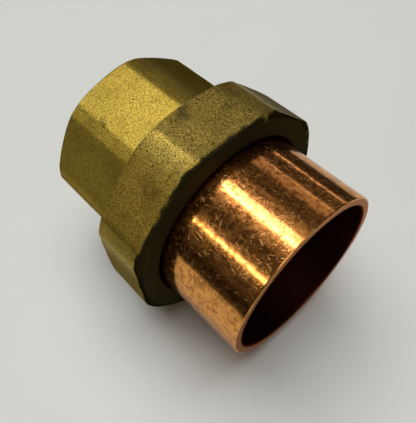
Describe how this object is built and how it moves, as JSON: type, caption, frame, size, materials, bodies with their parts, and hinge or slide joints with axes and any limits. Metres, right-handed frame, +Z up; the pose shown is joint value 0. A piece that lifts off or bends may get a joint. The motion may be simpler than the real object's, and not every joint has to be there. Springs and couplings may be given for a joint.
{
  "type": "pipe union",
  "caption": "Solder-by-solder pipe union for copper tube: brass octagonal body with ball-and-cone seat, brass octagonal nut, copper tail piece.",
  "frame": {"origin": "centre of the mouth of the threaded body's solder socket", "axes": "+X along the pipe axis from the threaded body to the tail piece, +Z up with the union lying on one flat of its nut"},
  "size_m": [0.0652, 0.058, 0.058],
  "materials": {
    "body_brass": "cast and blasted, matt",
    "nut_brass": "cast and blasted, darkened",
    "tail_copper": "polished copper, scratched"
  },
  "bodies": {
    "body": {"threaded_body": "body_brass"},
    "tail": {"tail_piece": "tail_copper"},
    "nut": {"union_nut": "nut_brass"}
  },
  "joints": [
    {"name": "tail_slide", "type": "slide", "parent": "body", "child": "tail", "axis": [1, 0, 0], "range_m": [0, 0.00544]},
    {"name": "nut_turn", "type": "hinge", "parent": "tail", "child": "nut", "pos_m": [0.0339, 0, 0], "axis": [1, 0, 0], "range_deg": [0, 1080]}
  ],
  "couplings": [
    {"joint": "tail_slide", "follows": "nut_turn", "m_per_rad": 0.00028875}
  ]
}
